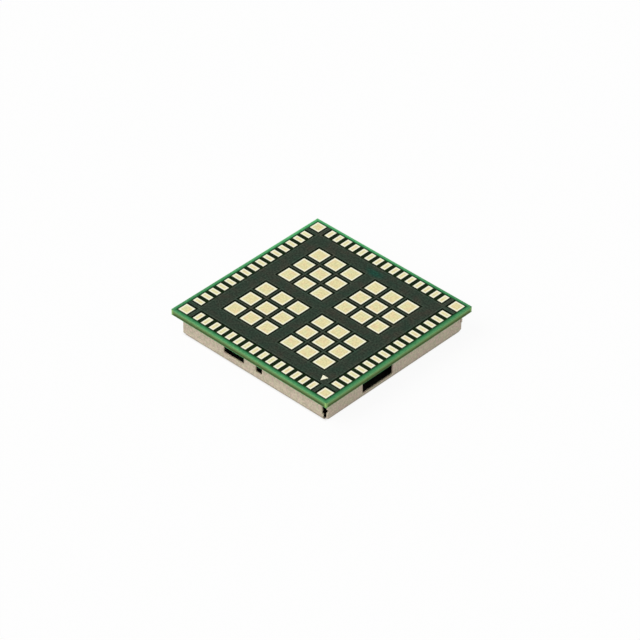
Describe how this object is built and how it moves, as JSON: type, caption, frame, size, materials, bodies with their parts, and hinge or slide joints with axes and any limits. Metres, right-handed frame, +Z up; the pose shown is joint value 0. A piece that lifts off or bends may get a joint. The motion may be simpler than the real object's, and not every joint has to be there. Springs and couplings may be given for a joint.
{
  "type": "wifi module",
  "caption": "Square surface-mount wifi module: a land-grid circuit board, pads up, closed below by a folded metal shield can with slit corners and cut-outs in its walls.",
  "frame": {"origin": "middle of the can lid's outer face, in the plane of the surface that the module lies on", "axes": "+Z up through the pad face, +Y towards the back edge row, +X right; the pin-one mark is at the front right, in the +X -Y corner"},
  "size_m": [0.0134, 0.0134, 0.002],
  "materials": {
    "laminate": "sawn glass-epoxy edge",
    "solder_mask": "semi-gloss green film, dark over copper",
    "copper": "bare copper under the film",
    "plated_lands": "matte pale gold plating",
    "can_sheet": "tin-plated sheet with a fine rolled grain",
    "solder": "satin solder",
    "moulding": "fine matte black moulding compound",
    "terminal_metal": "matte tin",
    "pale_ceramic": "matte fired ceramic",
    "cover_metal": "plated metal cover",
    "dark_ferrite": "matte grey ferrite",
    "tan_ceramic": "matte fired ceramic"
  },
  "bodies": {
    "root": {"board_core": "laminate", "pad_side_mask": "solder_mask", "part_side_mask": "solder_mask", "ground_pour": "copper", "can_land": "plated_lands", "component_lands": "plated_lands", "pin_one_mark": "plated_lands", "corner_pads": "plated_lands", "front_edge_pads": "plated_lands", "right_edge_pads": "plated_lands", "back_edge_pads": "plated_lands", "left_edge_pads": "plated_lands", "front_left_ground_pads": "plated_lands", "front_right_ground_pads": "plated_lands", "back_left_ground_pads": "plated_lands", "back_right_ground_pads": "plated_lands", "shield_can": "can_sheet", "can_solder": "solder", "component_solder": "solder", "radio_chip": "moulding", "radio_chip_leads": "terminal_metal", "low_band_front_end": "moulding", "high_band_front_end": "moulding", "front_end_leads": "terminal_metal", "crystal_base": "pale_ceramic", "crystal_cover": "cover_metal", "crystal_leads": "terminal_metal", "inductor_bodies": "dark_ferrite", "inductor_terminals": "terminal_metal", "filter_bodies": "pale_ceramic", "filter_terminals": "terminal_metal", "capacitor_bodies": "tan_ceramic", "capacitor_terminals": "terminal_metal", "resistor_bodies": "dark_ferrite", "resistor_terminals": "terminal_metal"}
  },
  "joints": []
}
